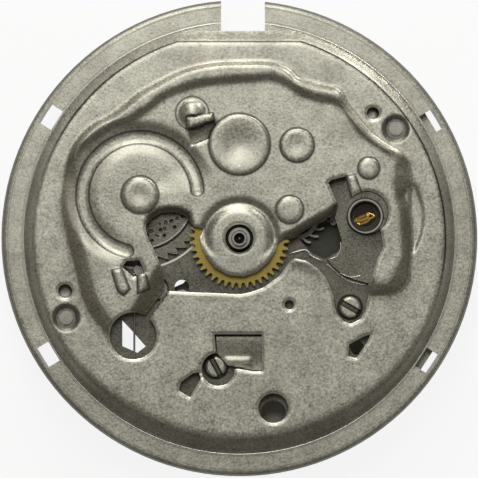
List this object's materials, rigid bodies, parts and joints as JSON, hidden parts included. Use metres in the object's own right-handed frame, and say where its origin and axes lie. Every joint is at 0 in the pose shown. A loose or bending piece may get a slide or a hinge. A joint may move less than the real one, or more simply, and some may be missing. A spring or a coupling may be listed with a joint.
{
  "type": "mechanical watch movement",
  "caption": "Round hand-wound watch movement seen from the dial side, with stamped front plate, casing ring, hour wheel and hand pipes, balance jewel, escapement, train and back bridges",
  "frame": {"origin": "centre of the hands, at the height of the back faces of the bridges", "axes": "+Z out through the dial side along the hands' axis, +Y towards the winding stem, +X to the right"},
  "size_m": [0.0282, 0.0282, 0.0069],
  "materials": {
    "satin_nickel": "satin nickel plate with a fine grain",
    "dark_nickel": "dull nickel plate",
    "polished_steel": "polished grey steel",
    "brass": "matt brass",
    "gilt": "bright gilt spring",
    "blued_steel": "blued steel",
    "ruby": "polished synthetic ruby"
  },
  "bodies": {
    "frame": {"casing_ring": "satin_nickel", "front_plate": "satin_nickel", "main_plate": "dark_nickel", "rivets": "polished_steel", "dial_screws": "satin_nickel", "lower_balance_cock": "dark_nickel", "lower_shock_setting": "polished_steel", "lower_shock_spring": "gilt", "lower_cap_jewel": "ruby", "crown_wheel_core": "polished_steel", "click_spring": "polished_steel", "hairspring": "blued_steel", "hairspring_stud": "polished_steel", "upper_shock_setting": "polished_steel", "upper_shock_spring": "gilt", "upper_cap_jewel": "ruby", "barrel_bridge": "satin_nickel", "train_bridge": "satin_nickel", "balance_cock": "satin_nickel", "centre_bridge": "satin_nickel", "pallet_bridge": "satin_nickel", "bridge_screws": "blued_steel", "inner_bridge_screws": "blued_steel", "plate_jewels": "ruby", "bridge_jewels": "ruby"},
    "hour": {"hour_wheel": "brass", "hour_pipe": "polished_steel"},
    "cannon": {"cannon_pinion": "polished_steel"},
    "minute": {"minute_wheel": "brass"},
    "intermediate": {"intermediate_wheel": "polished_steel"},
    "setting": {"setting_wheel": "polished_steel"},
    "ratchet": {"ratchet_wheel": "polished_steel", "ratchet_screw": "polished_steel", "barrel_arbor": "polished_steel"},
    "crown": {"crown_wheel": "polished_steel"},
    "click": {"click": "polished_steel"},
    "winding": {"winding_pinion": "polished_steel"},
    "sliding": {"sliding_pinion": "polished_steel"},
    "lever": {"setting_lever": "polished_steel"},
    "yoke": {"yoke": "polished_steel"},
    "barrel": {"barrel_drum": "brass", "barrel_lid": "brass", "mainspring": "blued_steel"},
    "centre": {"centre_wheel": "brass"},
    "third": {"third_wheel": "brass"},
    "fourth": {"fourth_wheel": "brass"},
    "escape": {"escape_wheel": "polished_steel"},
    "pallet": {"pallet_lever": "polished_steel", "pallet_stones": "ruby"},
    "balance": {"balance_wheel": "brass", "balance_staff": "polished_steel", "roller": "polished_steel", "impulse_jewel": "ruby"},
    "regulator": {"regulator": "polished_steel"}
  },
  "joints": [
    {"name": "seconds_spin", "type": "hinge", "parent": "frame", "child": "fourth", "pos_m": [0, 0, 0.0009], "axis": [0, 0, 1], "continuous": true},
    {"name": "escape_spin", "type": "hinge", "parent": "frame", "child": "escape", "pos_m": [0.0033, 0.0014, 0.0009], "axis": [0, 0, 1], "continuous": true},
    {"name": "third_spin", "type": "hinge", "parent": "frame", "child": "third", "pos_m": [0.00064, -0.00364, 0.0009], "axis": [0, 0, 1], "continuous": true},
    {"name": "centre_spin", "type": "hinge", "parent": "frame", "child": "centre", "pos_m": [0, 0, 0.0018], "axis": [0, 0, 1], "continuous": true},
    {"name": "barrel_spin", "type": "hinge", "parent": "frame", "child": "barrel", "pos_m": [-0.00587, 0.00257, 0.0021], "axis": [0, 0, 1], "continuous": true},
    {"name": "cannon_spin", "type": "hinge", "parent": "frame", "child": "cannon", "pos_m": [0, 0, 0.0045], "axis": [0, 0, 1], "continuous": true},
    {"name": "minute_spin", "type": "hinge", "parent": "frame", "child": "minute", "pos_m": [0.00039, 0.00373, 0.0045], "axis": [0, 0, 1], "continuous": true},
    {"name": "hour_spin", "type": "hinge", "parent": "frame", "child": "hour", "pos_m": [0, 0, 0.0048], "axis": [0, 0, 1], "continuous": true},
    {"name": "intermediate_spin", "type": "hinge", "parent": "frame", "child": "intermediate", "pos_m": [0.00341, 0.0055, 0.0032], "axis": [0, 0, 1], "continuous": true},
    {"name": "setting_spin", "type": "hinge", "parent": "frame", "child": "setting", "pos_m": [0.0012, 0.00435, 0.0032], "axis": [0, 0, 1], "continuous": true},
    {"name": "ratchet_spin", "type": "hinge", "parent": "frame", "child": "ratchet", "pos_m": [-0.00587, 0.00257, 0.004], "axis": [0, 0, 1], "continuous": true},
    {"name": "crown_spin", "type": "hinge", "parent": "frame", "child": "crown", "pos_m": [0, 0.00555, 0.004], "axis": [0, 0, 1], "continuous": true},
    {"name": "winding_spin", "type": "hinge", "parent": "frame", "child": "winding", "pos_m": [0, 0.0084, 0.00293], "axis": [0, 1, 0], "continuous": true},
    {"name": "click_pivot", "type": "hinge", "parent": "frame", "child": "click", "pos_m": [-0.0049, -0.003, 0.004], "axis": [0, 0, 1], "range_deg": [-6, 0]},
    {"name": "setting_lever_pivot", "type": "hinge", "parent": "frame", "child": "lever", "pos_m": [-0.0027, 0.0102, 0.0045], "axis": [0, 0, 1], "range_deg": [0, 12]},
    {"name": "yoke_pivot", "type": "hinge", "parent": "frame", "child": "yoke", "pos_m": [0.003, 0.007, 0.00295], "axis": [0, 0, 1], "range_deg": [0, 13.3]},
    {"name": "clutch_slide", "type": "slide", "parent": "frame", "child": "sliding", "axis": [0, 1, 0], "range_m": [-0.00055, 0]},
    {"name": "pallet_swing", "type": "hinge", "parent": "frame", "child": "pallet", "pos_m": [0.00541, 0.00218, 0.00295], "axis": [0, 0, 1], "range_deg": [-4, 4]},
    {"name": "balance_swing", "type": "hinge", "parent": "frame", "child": "balance", "pos_m": [0.00744, 0.00131, 0.002], "axis": [0, 0, 1], "range_deg": [-270, 270]},
    {"name": "regulator_turn", "type": "hinge", "parent": "frame", "child": "regulator", "pos_m": [0.00744, 0.00131, 0.0002], "axis": [0, 0, 1], "range_deg": [-10, 10]}
  ],
  "couplings": [
    {"joint": "escape_spin", "follows": "seconds_spin", "ratio": -9},
    {"joint": "third_spin", "follows": "seconds_spin", "ratio": -0.125},
    {"joint": "centre_spin", "follows": "seconds_spin", "ratio": 0.016667},
    {"joint": "barrel_spin", "follows": "seconds_spin", "ratio": -0.0033333},
    {"joint": "minute_spin", "follows": "cannon_spin", "ratio": -0.25},
    {"joint": "hour_spin", "follows": "cannon_spin", "ratio": 0.083333},
    {"joint": "intermediate_spin", "follows": "cannon_spin", "ratio": 1.5},
    {"joint": "setting_spin", "follows": "cannon_spin", "ratio": -1},
    {"joint": "crown_spin", "follows": "ratchet_spin", "ratio": -1.5385},
    {"joint": "winding_spin", "follows": "ratchet_spin", "ratio": 3.3333},
    {"joint": "yoke_pivot", "follows": "clutch_slide", "rad_per_m": -417},
    {"joint": "setting_lever_pivot", "follows": "clutch_slide", "rad_per_m": -370}
  ]
}
